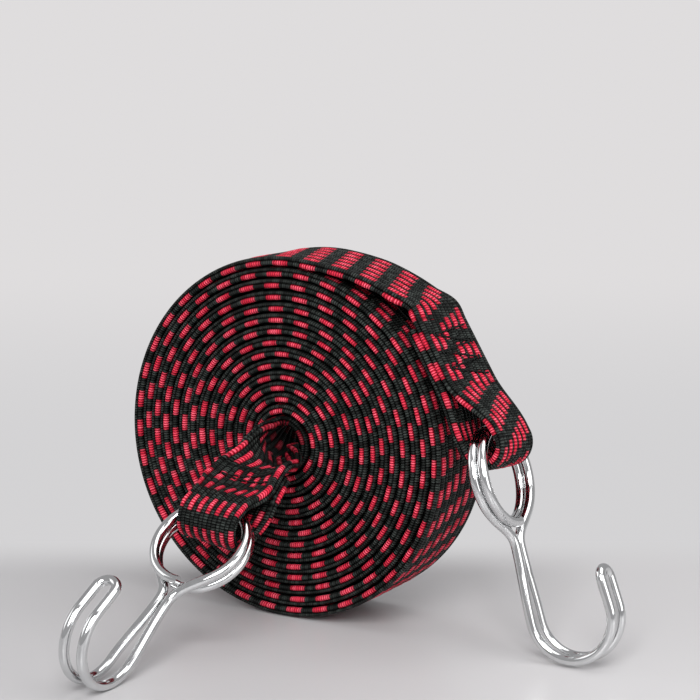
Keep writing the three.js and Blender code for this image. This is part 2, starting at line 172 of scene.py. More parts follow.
@dataclass(frozen=True)
class StrapSection:
    """The strap's section: ribs round a flat row of rubber, in millimetres."""

    width: float = 40.0
    thickness: float = 4.1
    face_half: float = 17.05
    face_ribs: int = 11
    outer_dash: float = 4.1
    inner_dash: float = 3.5
    dashed_height: float = 0.85
    black_height: float = 0.55
    swell: float = 0.3
    dashed_steps: int = 6
    black_steps: int = 5
    fullness: float = 0.75
    packed_half: float = 2.22
    packed_rim: float = 0.96
    packed_flat: float = 0.3
    edge_notch: tuple[float, float] = (1.3, 0.26)
    dashed_edge: tuple[float, float] = (1.45, -0.87)
    dashed_edge_half: tuple[float, float] = (1.45, 1.18)
    dashed_edge_steps: int = 11
    black_edge: tuple[float, float] = (1.5, 1.02)
    black_edge_half: tuple[float, float] = (1.32, 0.8)
    black_edge_steps: int = 9
    edge_sweep: tuple[float, float] = (-150, 62)
    dash_periods: tuple[float, float] = (13.3, 11.7945)
    dash_start: float = 0.196
    length: float = 4052.0
    edge_shift: float = -0.5
    edge_lag: float = 9.5
    outer_stagger: float = 1.05
    inner_stagger: float = -0.15
    drag_rate: float = 2.4

    @property
    def groove(self) -> float:
        """Height of the grooves from the middle of the strap."""
        return self.thickness / 2 - self.dashed_height

    def ribs(self, detail: Detail) -> list[Rib]:
        """Ribs round the section, turning left from the inner face.

        Args:
            detail: Whether the broad faces have their ribs.

        Returns:
            The ribs in order, each ending where the next begins.
        """
        made = self._face(-1, detail)
        made += self._edge()
        made += self._face(1, detail)
        made += [self._mirrored(rib) for rib in reversed(self._edge())]
        return made

    def _face(self, sign: int, detail: Detail) -> list[Rib]:
        """Ribs of one broad face.

        Args:
            sign: -1 for the inner face, which runs towards +X, or 1 for the outer, which runs towards -X.
            detail: Whether the face has its ribs.

        Returns:
            The face's ribs in order.
        """
        if detail is Detail.EDGES:
            rim = self.groove + self.dashed_height / 2
            profile = (
                (-self.packed_rim, rim), (-self.packed_flat, self.packed_half),
                (self.packed_flat, self.packed_half), (self.packed_rim, rim),
            )
            flat = tuple((-sign * self.face_half * t, sign * level) for t, level in profile)
            start = (sign * self.face_half, sign * self.groove)
            end = (-sign * self.face_half, sign * self.groove)
            return [Rib(Weave.BLACK, (start, *flat, end), None, 0.0)]
        dashed_first = sign > 0
        dashes = (self.face_ribs + dashed_first) // 2
        dashed_width = self.outer_dash if sign > 0 else self.inner_dash
        black_width = (2 * self.face_half - dashes * dashed_width) / (self.face_ribs - dashes)
        stagger = self.outer_stagger if sign > 0 else self.inner_stagger
        made = []
        x = -self.face_half
        for i in range(self.face_ribs):
            dashed = (i % 2 == 0) == dashed_first
            width = dashed_width if dashed else black_width
            height = self.dashed_height if dashed else self.black_height
            steps = self.dashed_steps if dashed else self.black_steps
            points = []
            for k in range(steps + 1):
                t = k / steps
                rise = self.groove + height * math.sin(math.pi * t) ** self.fullness
                points.append((-sign * (x + width * t), sign * rise))
            place = i if sign > 0 else self.face_ribs - 1 - i
            weave = Weave.DASHED if dashed else Weave.BLACK
            middle = (-sign * (x + width / 2), 0.0)
            made.append(Rib(weave, tuple(points), middle, place * stagger))
            x += width
        return made

    def _edge(self) -> list[Rib]:
        """The dashed rib and the black rib that lie on each other along the +X edge.

        Returns:
            The two ribs, from the inner face to the outer.
        """
        half = self.width / 2
        start = (self.face_half, -self.groove)
        between = (half - self.edge_notch[0], self.edge_notch[1])
        end = (self.face_half, self.groove)
        middle = (half - self.dashed_edge[0], self.dashed_edge[1])
        black_middle = (half - self.black_edge[0], self.black_edge[1])
        low, high = self.edge_sweep
        dashed = self._arc(middle, self.dashed_edge_half, low, high, self.dashed_edge_steps)
        black = self._arc(black_middle, self.black_edge_half, -high, -low, self.black_edge_steps)
        return [
            Rib(Weave.DASHED, (start, *dashed, between), middle, self.edge_shift),
            Rib(Weave.BLACK, (between, *black, end), None, 0.0),
        ]

    @staticmethod
    def _arc(centre: tuple, half: tuple, start: float, end: float, steps: int) -> list[tuple[float, float]]:
        """Points on an ellipse between two angles in degrees."""
        angles = [math.radians(mix(start, end, i / steps)) for i in range(steps + 1)]
        return [(centre[0] + half[0] * math.cos(a), centre[1] + half[1] * math.sin(a)) for a in angles]

    def _mirrored(self, rib: Rib) -> Rib:
        """The same rib on the other edge.

        Args:
            rib: Rib of the +X edge.

        Returns:
            Its mirror image, with its dashes further along.
        """
        middle = rib.centre and (-rib.centre[0], rib.centre[1])
        points = tuple((-x, y) for x, y in reversed(rib.points))
        return Rib(rib.weave, points, middle, rib.shift + self.edge_lag)

    def cycles(self, distance: np.ndarray, shift: np.ndarray) -> np.ndarray:
        """Count of dashes up to a place along the strap, which is wound tighter towards the outside.

        Args:
            distance: Places along the strap in millimetres.
            shift: How far each rib's dashes lie along from the first rib's.

        Returns:
            Counts, with a dash in the middle of each.
        """
        outer, inner = self.dash_periods
        drift = (inner - outer) / self.length
        return self.dash_start + np.log1p(drift * (distance - shift) / outer) / drift


@dataclass
class Station:
    """A place on the strap's path, with travel along side x normal, that sets the section's points in space.

    Args:
        centre: Middle of the section.
        side: Direction of the section's X.
        normal: Direction of the section's Y.
        squeeze: Width over the full width.
        curl: One over the radius that bends the edges away from the normal, or 0.
        press: Gives how far each point is pulled along the normal by the sewing, where given.
        surface: Places the section in a curved surface instead, where given.
        slip: How far the sewing drags the weave along, in millimetres.
        light: Share of the light that reaches it, painted into the colour as shade for places deep in the
            roll.
    """

    centre: np.ndarray
    side: np.ndarray
    normal: np.ndarray
    squeeze: float = 1.0
    curl: float = 0.0
    press: Callable[[np.ndarray], np.ndarray] | None = None
    surface: Callable[[np.ndarray], np.ndarray] | None = None
    slip: float = 0.0
    light: float = 1.0

    @classmethod
    def along(cls, centre: np.ndarray, edge: np.ndarray, travel: np.ndarray, **more: object) -> "Station":
        """Station with a side that is square to the travel.

        Args:
            centre: Middle of the section.
            edge: Direction that the side lies close to.
            travel: Direction along the strap.
            more: Other fields of the station.

        Returns:
            The station.
        """
        onward = unit(travel)
        normal = unit(np.cross(onward, edge))
        return cls(centre, np.cross(normal, onward), normal, **more)

    def place(self, points: np.ndarray) -> np.ndarray:
        """Section points in space.

        Args:
            points: Section points as rows of X and Y.

        Returns:
            Rows of X, Y and Z in millimetres.
        """
        if self.surface is not None:
            return self.surface(points)
        x, y = points[:, 0] * self.squeeze, points[:, 1]
        if self.curl:
            reach = (1 / self.curl + y) * np.sin(self.curl * x)
            rise = (1 / self.curl + y) * np.cos(self.curl * x) - 1 / self.curl
        else:
            reach, rise = x, y
        if self.press is not None:
            rise = rise + self.press(points)
        return self.centre + np.outer(reach, self.side) + np.outer(rise, self.normal)


@dataclass
class Roll:
    """The wound part of the strap: an even spiral, seen from the front turning left, inwards."""

    radius: float = 77.5
    turns: int = 13
    turn_gap: float = 0.6
    leave_angle: float = math.radians(82.5)
    packed_steps: int = 24
    foot_depth: float = 0.5
    section: StrapSection = field(default_factory=StrapSection)
    step_length: float = 2.4
    radial_wander: float = 0.16
    radial_waves: tuple[tuple[float, float, float], ...] = ((0.6, 2.31, 0.4), (0.4, 0.83, 2.0))
    edge_wander: float = 0.55
    edge_waves: tuple[tuple[float, float, float], ...] = ((0.6, 0.71, 1.1), (0.4, 2.63, 0.0))
    floor_margin: float = 0.02
    fade: float = math.radians(60)

    def __post_init__(self) -> None:
        """Works out the height of the axis and how far the lower half gives under the weight."""
        self.pitch = self.section.thickness + self.turn_gap
        step = FULL_TURN / self.packed_steps
        self.axis = (self.radius - self.pitch / 2) * math.cos(step / 2) - self.foot_depth
        self.end_angle = self.leave_angle + self.turns * FULL_TURN
        lowest = self.radius - self.pitch * (1.5 * math.pi - self.leave_angle) / FULL_TURN
        self.sag = self.axis / (lowest + self.radial_wander + self.floor_margin)

    def radius_at(self, angle: float) -> float:
        """Radius of the strap's middle at an angle of the spiral."""
        return self.radius - self.section.thickness / 2 - self.pitch * (angle - self.leave_angle) / FULL_TURN

    def point(
        self, angle: np.ndarray | float, y: np.ndarray | float, rise: np.ndarray | float
    ) -> np.ndarray:
        """Points at angles of the spiral, with the lower half settled on the floor.

        Args:
            angle: Angle or angles in radians.
            y: Place along the axis.
            rise: Height over the strap's middle, outwards.

        Returns:
            Rows of X, Y and Z.
        """
        angle, y, rise = np.broadcast_arrays(angle, y, rise)
        reach = self.radius_at(angle) + rise
        up = reach * np.sin(angle)
        height = self.axis + np.where(up < 0, up * self.sag, up)
        return np.stack([reach * np.cos(angle), y, height], axis=-1)

    def wander(self, angle: float) -> tuple[float, float]:
        """How far a hand-rolled turn strays outwards and along the axis, fading out at both ends.

        Args:
            angle: Angle of the spiral.

        Returns:
            The way outwards and the way along the axis.
        """
        held = smooth((angle - self.leave_angle) / self.fade) * smooth((self.end_angle - angle) / self.fade)
        out = self._waves(angle, self.radial_waves)
        edge = self._waves(angle, self.edge_waves)
        return held * self.radial_wander * out, held * self.edge_wander * edge

    @staticmethod
    def _waves(angle: float, waves: tuple[tuple[float, float, float], ...]) -> float:
        """Sum of waves at an angle, each with a share, a rate and a start."""
        return sum(share * math.sin(rate * angle + start) for share, rate, start in waves)

    def station(self, angle: float) -> Station:
        """Station at an angle of the spiral.

        Args:
            angle: Angle of the spiral.

        Returns:
            A station whose section lies in the spiral's surface.
        """
        out, edge = self.wander(angle)

        def surface(points: np.ndarray) -> np.ndarray:
            """Section on the spiral at this angle."""
            return self.point(angle, edge - points[:, 0], points[:, 1] + out)

        normal = vec(math.cos(angle), 0, math.sin(angle))
        return Station(self.point(angle, edge, out), vec(0, -1, 0), normal, surface=surface)

    def stations(self, start: float, end: float) -> list[Station]:
        """Stations from one angle to another, both ends included.

        Args:
            start: First angle.
            end: Last angle.

        Returns:
            Stations about a step apart.
        """
        mean = self.radius_at((start + end) / 2)
        count = math.ceil((end - start) * mean / self.step_length)
        return [self.station(mix(start, end, i / count)) for i in range(count + 1)]


@dataclass
class HookWire:
    """One steel wire, doubled: a ring of two turns, a shank, a bend and a hairpin tip, in millimetres.

    The pivot is at the origin, X lies across the ring, Y runs from the ring to the bend and Z to the side of
    the tip.
    """

    diameter: float = 4.0
    gap: float = 0.3
    ring_radius: float = 18.9
    ring_overlap: float = 6.0
    leg_angle: float = math.radians(48)
    neck_length: float = 9.5
    shank_length: float = 58.5
    bend_radius: float = 17.0
    bend_angle: float = math.radians(184)
    tip_length: float = 10.0
    tip_spread: float = 8.6
    leg_ease: float = 9.5
    neck_ease: float = 7.0
    loop_width: float = 28.0

    @property
    def level(self) -> float:
        """Height of each turn of the ring from the middle of the hook."""
        return (self.diameter + self.gap) / 2

    @property
    def sag(self) -> float:
        """Depth of the ring's arc that lies in the loop."""
        return self.ring_radius - math.sqrt(self.ring_radius**2 - (self.loop_width / 2) ** 2)

    @property
    def ring_centre(self) -> float:
        """Place of the ring's centre along Y."""
        return self.ring_radius - self.sag / 2

    def _ring_half(self) -> list[np.ndarray]:
        """Once round the ring on its own level and down one leg to the neck.

        Returns:
            Points from the cut end to the neck.
        """
        sweep = FULL_TURN - self.leg_angle + math.radians(self.ring_overlap)
        start = -math.radians(self.ring_overlap)
        ring_steps, leg_steps = 84, 20
        points = []
        for i in range(ring_steps + 1):
            turn = start + sweep * i / ring_steps
            across = self.ring_radius * math.sin(turn)
            points.append(vec(across, self.ring_centre + self.ring_radius * math.cos(turn), self.level))
        joint = points[-1]
        onward = vec(math.cos(self.leg_angle), math.sin(self.leg_angle), 0)
        neck = vec(-self.level, self.ring_centre + self.ring_radius + self.neck_length, 0)
        pull = [joint, joint + onward * self.leg_ease, neck - vec(0, self.neck_ease, 0), neck]
        for i in range(1, leg_steps + 1):
            t = i / leg_steps
            weights = ((1 - t) ** 3, 3 * t * (1 - t) ** 2, 3 * t * t * (1 - t), t**3)
            points.append(sum(w * p for w, p in zip(weights, pull)))
        return points

    def _bend_half(self) -> list[np.ndarray]:
        """The bend at the end of the shank, the tip's arm and half of the hairpin.

        Returns:
            Points from the neck to the middle of the hairpin.
        """
        arm = -self.tip_spread / 2
        shank_steps, bend_steps, hairpin_steps = 10, 44, 12
        neck_end = self.ring_centre + self.ring_radius + self.neck_length
        bend_start = self.ring_centre + self.shank_length
        points = []
        for i in range(1, shank_steps):
            t = i / shank_steps
            points.append(vec(mix(-self.level, arm, smooth(t)), mix(neck_end, bend_start, t), 0))
        for i in range(bend_steps + 1):
            turn = self.bend_angle * i / bend_steps
            y = bend_start + self.bend_radius * math.sin(turn)
            points.append(vec(arm, y, self.bend_radius * (1 - math.cos(turn))))
        onward = vec(0, math.cos(self.bend_angle), math.sin(self.bend_angle))
        tip = points[-1]
        for i in range(hairpin_steps + 1):
            turn = math.pi / 2 * i / hairpin_steps
            point = tip + onward * (self.tip_length - arm * math.sin(turn))
            points.append(vec(arm * math.cos(turn), point[1], point[2]))
        return points

    def path(self) -> list[np.ndarray]:
        """Middle of the wire from one cut end to the other.

        Returns:
            Points along the whole wire.
        """
        ring, bend = self._ring_half(), self._bend_half()
        other_bend = [p * vec(-1, 1, 1) for p in reversed(bend[:-1])]
        other_ring = [p * vec(-1, 1, -1) for p in reversed(ring)]
        return [*ring, *bend, *other_bend, *other_ring]


@dataclass
class SewnEnd:
    """A strap end, folded round a hook's ring and sewn back on itself.

    In its own frame X lies across the strap, Y runs along the pull and Z out of the side where the lead
    comes in.
    """

    name: str
    origin: np.ndarray
    azimuth: float
    dip: float
    roll: float
    length: float
    seam: float
    strokes: int
    trough: float = 0.0
    twist: float = 0.0
    inward: bool = False
    section: StrapSection = field(default_factory=StrapSection)
    wire: HookWire = field(default_factory=HookWire)
    loop_slack: float = 3.0
    seam_width: float = 28.0
    seam_inset: float = 3.0
    tail_inset: float = 1.5
    seat_gap: float = 0.3
    edge_ease: float = 0.3
    thread: float = 0.9
    stitch_dent: float = 0.55
    dent_width: float = 0.95
    stitch_slip: float = 2.2
    slip_fade: float = 6.0
    step_length: float = 0.8

    def __post_init__(self) -> None:
        """Works out the frame, the loop's radius and how far the hook swings down to the floor."""
        azimuth, dip = math.radians(self.azimuth), math.radians(self.dip)
        self.pull = vec(
            math.cos(dip) * math.cos(azimuth), math.cos(dip) * math.sin(azimuth), -math.sin(dip)
        )
        level = vec(math.sin(azimuth), -math.cos(azimuth), 0)
        self.across = turned(level, self.pull, -math.radians(self.roll))
        self.out = np.cross(self.across, self.pull)
        self.layer = (self.section.thickness + self.seat_gap) / 2
        inner = math.hypot(self.wire.sag / 2, self.wire.level) + self.wire.diameter / 2 + self.seat_gap
        self.loop_radius = inner + self.section.thickness / 2
        self.loop_squeeze = (self.wire.loop_width - 2 * self.edge_ease) / self.section.width
        self.swing = self._rest_swing()

    def to_world(self, points: np.ndarray) -> np.ndarray:
        """Points of this end's frame, as rows or one alone, in space."""
        return self.origin + points @ np.stack([self.across, self.pull, self.out])

    def twisted(self, points: np.ndarray) -> np.ndarray:
        """Twists the strap about the pull: most at the lead, and not at all at the ring.

        Args:
            points: Points as rows, or one alone.

        Returns:
            The twisted points.
        """
        x, y, z = np.moveaxis(points, -1, 0)
        angle = math.radians(self.twist) * (1 - smooth(y / self.length))
        return np.stack([
            x * np.cos(angle) + z * np.sin(angle), y, z * np.cos(angle) - x * np.sin(angle),
        ], axis=-1)

    @property
    def joint(self) -> np.ndarray:
        """Middle of the section where the lead comes in."""
        return self.to_world(self.twisted(vec(0, 0, self.layer)))

    @property
    def lead_side(self) -> np.ndarray:
        """Direction across the strap where the lead comes in."""
        return self.to_world(self.twisted(vec(1, 0, 0))) - self.origin

    def _rest_swing(self) -> float:
        """Angle at which the hanging hook meets the floor, by halving.

        Returns:
            Angle in radians, about the pivot.
        """
        path = self.wire.path()
        high, low = 0.0, -math.radians(90 - self.dip)
        halvings = 40
        for _ in range(halvings):
            middle = (high + low) / 2
            lowest = min(self.to_world(self._swung(p, middle))[2] for p in path) - self.wire.diameter / 2
            high, low = (middle, low) if lowest > 0 else (high, middle)
        return high

    def _swung(self, point: np.ndarray, swing: float) -> np.ndarray:
        """Point of the hook in this end's frame, with the hook swung about its pivot."""
        return turned(point, vec(1, 0, 0), swing) + vec(0, self.length, 0)

    def hook_path(self) -> list[np.ndarray]:
        """Middle of this end's wire in space, at rest."""
        return [self.to_world(self._swung(p, self.swing)) for p in self.wire.path()]

    def trough_curl(self, z: float) -> float:
        """Curl of the doubled strap at a height over its middle: the layers of a trough share its axis."""
        return self.trough / (1 - self.trough * z)

    def _row(self, y: float, sign: int) -> dict[str, float]:
        """Place and form of a section on one layer of the doubled strap.

        Args:
            y: Place along the pull.
            sign: 1 for the lead's layer or -1 for the tail's.

        Returns:
            Its place, its squeeze and its curl.
        """
        spread = smooth((y - self.seam) / (self.length - self.seam))
        return {
            "y": y,
            "z": sign * mix(self.layer, self.loop_radius, spread),
            "squeeze": mix(1.0, self.loop_squeeze, spread),
            "curl": sign * self.trough_curl(sign * self.layer) * (1 - spread),
        }

    def _fold_row(self, turn: float) -> dict[str, float]:
        """Place and form of a section in the fold round the ring.

        Args:
            turn: Angle round the fold.

        Returns:
            Its place, its squeeze and its curl.
        """
        return {
            "y": self.length + self.loop_slack + self.loop_radius * math.cos(turn),
            "z": self.loop_radius * math.sin(turn),
            "squeeze": self.loop_squeeze,
            "curl": 0.0,
        }

    def stations(self) -> list[Station]:
        """Stations from the lead, round the hook's ring, to the cut end of the tail, or the other way.

        Returns:
            Stations in the order of the whole strap.
        """
        straight = math.ceil(self.length / self.step_length)
        rows = [self._row(self.length * i / straight, 1) for i in range(straight + 1)]
        fold_steps = 28
        rows += [self._fold_row(math.pi * (0.5 - i / fold_steps)) for i in range(1, fold_steps)]
        rows += [self._row(mix(self.length, self.tail_inset, i / straight), -1) for i in range(straight + 1)]
        if self.inward:
            rows.reverse()
        centres = [vec(0, row["y"], row["z"]) for row in rows]
        made = []
        for i, row in enumerate(rows):
            travel = centres[min(i + 1, len(rows) - 1)] - centres[max(i - 1, 0)]
            reach = max(abs(row["y"] - self.seam / 2) - self.seam / 2, 0.0)
            made.append(self._settled(Station.along(
                centres[i], vec(1, 0, 0), travel, squeeze=row["squeeze"],
                curl=-row["curl"] if self.inward else row["curl"],
                press=self._dent(row["y"]) if row["y"] < self.seam + 3 * self.dent_width else None,
                slip=self.stitch_slip * (1 - smooth(reach / self.slip_fade)),
            )))
        return made

    def _settled(self, local: Station) -> Station:
        """Station of this end's frame as one in space, twisted with the end.

        Args:
            local: Station of this end's frame.

        Returns:
            The same station in space.
        """

        def surface(points: np.ndarray) -> np.ndarray:
            """Section in space."""
            return self.to_world(self.twisted(local.place(points)))

        centre = self.to_world(self.twisted(local.centre))
        return Station(centre, self.across, self.out, surface=surface, slip=local.slip)

    def _dent(self, y: float) -> Callable[[np.ndarray], np.ndarray]:
        """How the sewing pulls the outside of a section into the strap.

        Args:
            y: Place along the pull.

        Returns:
            Function that gives each section point's shift along the normal.
        """
        outside = 1 if self.inward else -1
        corners = self._seam_corners()
        half = self.seam_width / 2

        def press(points: np.ndarray) -> np.ndarray:
            """Shift of each section point along the normal.

            Args:
                points: Section points as rows of X and Y.

            Returns:
                One shift for each point.
            """
            x = np.clip(points[:, 0], -half, half)
            away = np.full(len(points), np.inf)
            for (x0, y0), (x1, y1) in zip(corners, corners[1:]):
                away = np.minimum(away, np.abs(y0 + (y1 - y0) * (x - x0) / (x1 - x0) - y))
            fade = np.exp(-((np.maximum(np.abs(points[:, 0]) - half, 0) / self.dent_width) ** 2))
            pulled = np.where(points[:, 1] * outside > 0, self.stitch_dent * fade, 0.0)
            return -outside * pulled * np.exp(-((away / self.dent_width) ** 2))

        return press

    def _seam_corners(self) -> list[tuple[float, float]]:
        """Corners of the sewing in X and Y of this end's frame.

        Returns:
            Corners from the lead's end of the seam.
        """
        run = self.seam - self.seam_inset - self.thread
        return [
            ((0.5 if i % 2 else -0.5) * self.seam_width, self.seam_inset + run * i / self.strokes)
            for i in range(self.strokes + 1)
        ]

    def seam_path(self, sign: int) -> list[np.ndarray]:
        """The sewing on one face of the doubled strap.

        Args:
            sign: 1 for the lead's face or -1 for the tail's.

        Returns:
            Points close together, in space.
        """
        z = sign * (self.layer + self.section.thickness / 2 - self.stitch_dent / 2)
        bend = self.trough_curl(z)
        corners = self._seam_corners()
        steps = 14
        made = []
        for (x0, y0), (x1, y1) in zip(corners, corners[1:]):
            for i in range(steps):
                x, y = mix(x0, x1, i / steps), mix(y0, y1, i / steps)
                made.append(self._on_trough(x, y, z, bend))
        return [*made, self._on_trough(*corners[-1], z, bend)]

    def _on_trough(self, x: float, y: float, z: float, bend: float) -> np.ndarray:
        """Point on a layer of the doubled strap, in space.

        Args:
            x: Place across the strap.
            y: Place along the pull.
            z: Height over the middle.
            bend: One over the radius of the trough at that height, or 0.

        Returns:
            The point in space.
        """
        if bend:
            x, z = math.sin(x * bend) / bend, z + (1 - math.cos(x * bend)) / bend
        return self.to_world(self.twisted(vec(x, y, z)))


@dataclass
class StrapPath:
    """The whole length of the strap, from the rear tail's cut end to the front tail's."""

    section: StrapSection = field(default_factory=StrapSection)
    roll: Roll = field(default_factory=Roll)
    rear_place: tuple[float, float, float] = (0.66065, 0.0, -0.2942)
    front_place: tuple[float, float, float] = (-0.8, -16.9, -11.2)
    outer_route: tuple[tuple[float, float], ...] = (
        (0.1265, -0.0181), (0.2542, -0.0439), (0.4, -0.0929), (0.5226, -0.1471),
    )
    approach: float = 7.0
    turn_start: float = math.radians(430)
    turn_margin: float = 2.0
    opening: float = 0.8
    bunching: float = 0.15
    lean: float = 0.12
    shift: float = 5.0
    # Painted shade in the roll's bore: share of the colour kept, how fast it darkens going in, and how far
    # out it lasts.
    bore_light: float = 0.3
    dimming: float = 3
    light_reach: float = 0.6
    lead_step: float = 1.2
    outer_turns: float = 1.0692
    inner_turns: float = 0.3

    def __post_init__(self) -> None:
        """Places the two sewn ends."""
        self.leave = self.roll.point(self.roll.leave_angle, 0.0, 0.0)
        rear = self.leave + vec(*self.rear_place) * self.roll.radius
        self.rear = SewnEnd(
            "rear", rear, azimuth=-9, dip=56, roll=10.8, length=50.7, seam=26, strokes=6, inward=True
        )
        front = vec(0, -self.section.width / 2, self.roll.axis) + vec(*self.front_place)
        self.front = SewnEnd(
            "front", front, azimuth=-96, dip=28, roll=8, length=24, seam=9, strokes=2,
            trough=1 / 46, twist=14,
        )

    def outer_lead(self) -> list[Station]:
        """Stations from the rear end's joint back to the roll, without either end.

        Returns:
            Stations in the order of the whole strap.
        """
        joint, pull = self.rear.joint, self.rear.pull
        route = [self.leave + vec(x, 0, z) * self.roll.radius for x, z in self.outer_route]
        line = curve_through([self.leave, *route, joint - pull * self.approach, joint], self.lead_step)
        made = []
        for i in range(len(line) - 2, 0, -1):
            edge = mix(vec(0, -1, 0), self.rear.across, smooth(i / len(line)))
            made.append(Station.along(line[i], edge, line[i - 1] - line[i + 1]))
        return made

    def _turning(self, start: float, turn: float) -> Station:
        """Section that lies in the spiral's surface, turned from the roll's run towards the front.

        Args:
            start: Angle of the spiral at which the turn begins.
            turn: How far it has turned, from 0 to a right angle.

        Returns:
            A station in the spiral's surface.
        """
        radius = self.section.width / 2 + self.turn_margin
        mean = self.roll.radius_at(start + radius / self.roll.radius_at(start))
        angle = start + radius * math.sin(turn) / mean
        y = -radius * (1 - math.cos(turn))

        def surface(points: np.ndarray) -> np.ndarray:
            """Section in the spiral's surface.

            Args:
                points: Section points as rows of X and Y.

            Returns:
                Rows of X, Y and Z in millimetres.
            """
            across = points[:, 0]
            return self.roll.point(
                angle - across * math.sin(turn) / mean, y - across * math.cos(turn), points[:, 1]
            )

        side = vec(math.sin(angle), 0, -math.cos(angle))
        normal = vec(math.cos(angle), 0, math.sin(angle))
        return Station(self.roll.point(angle, y, 0.0), side, normal, curl=1 / mean, surface=surface)

    def inner_lead(self) -> list[Station]:
        """Stations from the roll's end to the front end's joint, without the joint.

        Returns:
            Stations in the order of the whole strap.
        """
        start = self.roll.end_angle + self.turn_start - self.roll.leave_angle
        made = self.roll.stations(self.roll.end_angle, start)[1:-1]
        turn_steps, open_steps = 30, 20
        made += [self._turning(start, math.pi / 2 * i / turn_steps) for i in range(turn_steps + 1)]
        mouth = made[-1]
        # Painted shade: the colour darkens to bore_light deep in the roll's bore.
        for i, station in enumerate(made):
            station.light = mix(1.0, self.bore_light, smooth(self.dimming * i / len(made)))
        joint_curl = self.front.trough_curl(self.front.layer)
        for i in range(1, open_steps):
            t = i / open_steps
            midway = math.sin(math.pi * t)
            side = mix(mouth.side, self.front.lead_side, t)
            made.append(Station.along(
                mix(mouth.centre, self.front.joint, t) - side * self.shift * midway,
                side - vec(0, 0, self.lean * midway),
                mix(vec(0, -1, 0), self.front.pull, t),
                squeeze=1 - self.bunching * midway,
                curl=mix(mouth.curl, joint_curl, t**self.opening),
                # The painted shade clears as the lead comes out of the bore.
                light=mix(self.bore_light, 1.0, smooth(t / self.light_reach)),
            ))
        return made

    def stretches(self) -> dict[str, list[Station]]:
        """Stations of the three stretches: outside, rolled up and inside.

        Returns:
            Stations by the stretch's name, in the order of the whole strap.
        """
        hidden_start = self.roll.leave_angle + FULL_TURN * self.outer_turns
        hidden_end = self.roll.end_angle - FULL_TURN * self.inner_turns
        outer = [*self.rear.stations(), *self.outer_lead()]
        outer += self.roll.stations(self.roll.leave_angle, hidden_start)
        rolled = self.roll.stations(hidden_start, hidden_end)
        inner = self.roll.stations(hidden_end, self.roll.end_angle)
        inner += [*self.inner_lead(), *self.front.stations()]
        return {"outer": outer, "rolled": rolled, "inner": inner}


@dataclass
class Graph:
    """Adds nodes to a tree and links them, with plain values set on their sockets."""

    tree: bpy.types.NodeTree

    def socket(self, name: str, kind: str, out: bool = False) -> str:
        """Adds a socket to a group's interface and gives its identifier."""
        made = self.tree.interface.new_socket(name, in_out="OUTPUT" if out else "INPUT", socket_type=kind)
        return made.identifier

    def add(self, kind: str, settings: dict | None = None, **values: Value) -> bpy.types.Node:
        """Adds a node.

        Args:
            kind: Node type.
            settings: The node's own properties.
            values: Its inputs by name, with _ for a space, each a socket to link or a plain value.

        Returns:
            The node.
        """
        node = self.tree.nodes.new(kind)
        for name, value in (settings or {}).items():
            setattr(node, name, value)
        for name, value in values.items():
            self.put(node.inputs[name.replace("_", " ")], value)
        return node

    def put(self, target: Socket, value: Value) -> None:
        """Links a socket, or sets its value.

        Args:
            target: Input to feed.
            value: Socket to link or plain value.
        """
        if isinstance(value, bpy.types.NodeSocket):
            self.tree.links.new(value, target)
        else:
            target.default_value = value

    def math(self, operation: str, *values: Value) -> Socket:
        """Adds a math node.

        Args:
            operation: What it does.
            values: Its inputs in order.

        Returns:
            Its result.
        """
        node = self.add("ShaderNodeMath", {"operation": operation})
        for target, value in zip(node.inputs, values):
            self.put(target, value)
        return node.outputs[0]

    def colour(self, blend: str, factor: Value, a: Value, b: Value) -> Socket:
        """Adds a colour mix.

        Args:
            blend: How the colours are mixed.
            factor: Share of the second.
            a: First colour.
            b: Second colour.

        Returns:
            The mixed colour.
        """
        node = self.add("ShaderNodeMix", {"data_type": "RGBA", "blend_type": blend})
        for target, value in zip((node.inputs[0], node.inputs[6], node.inputs[7]), (factor, a, b)):
            self.put(target, value)
        return node.outputs[2]

    def blend(self, factor: Value, a: bpy.types.Node, b: bpy.types.Node) -> Socket:
        """Adds a mix of two shaders.

        Args:
            factor: Share of the second.
            a: First shader.
            b: Second shader.

        Returns:
            The mixed shader.
        """
        node = self.add("ShaderNodeMixShader")
        for target, value in zip(node.inputs, (factor, a.outputs[0], b.outputs[0])):
            self.put(target, value)
        return node.outputs[0]

    def scaled(self, vector: Value, factor: Value) -> Socket:
        """Scales a colour.

        Args:
            vector: Colour to scale.
            factor: Scale.

        Returns:
            The scaled colour.
        """
        node = self.add("ShaderNodeVectorMath", {"operation": "SCALE"}, Scale=factor)
        self.put(node.inputs[0], vector)
        return node.outputs[0]

    def place(self) -> Socket:
        """Adds the object's own coordinates."""
        return self.add("ShaderNodeTexCoord").outputs["Object"]

    def noise(self, place: Socket, scale: float, detail: float) -> Socket:
        """Adds a noise and gives its value."""
        return self.add("ShaderNodeTexNoise", Vector=place, Scale=scale, Detail=detail).outputs["Fac"]

    def bump(self, shader: bpy.types.Node, height: Socket, strength: float, distance: float) -> None:
        """Adds a bump to a shader's normal."""
        node = self.add("ShaderNodeBump", Strength=strength, Distance=distance, Height=height)
        self.put(shader.inputs["Normal"], node.outputs[0])

    def remap(self, value: Socket, low: Value, high: Value, to_low: float, to_high: float) -> Socket:
        """Adds a smooth map range.

        Args:
            value: Value to map.
            low: Where the range starts.
            high: Where it ends.
            to_low: Result at its start.
            to_high: Result at its end.

        Returns:
            The mapped value.
        """
        node = self.add(
            "ShaderNodeMapRange", {"interpolation_type": "SMOOTHSTEP"},
            Value=value, From_Min=low, From_Max=high, To_Min=to_low, To_Max=to_high,
        )
        return node.outputs[0]


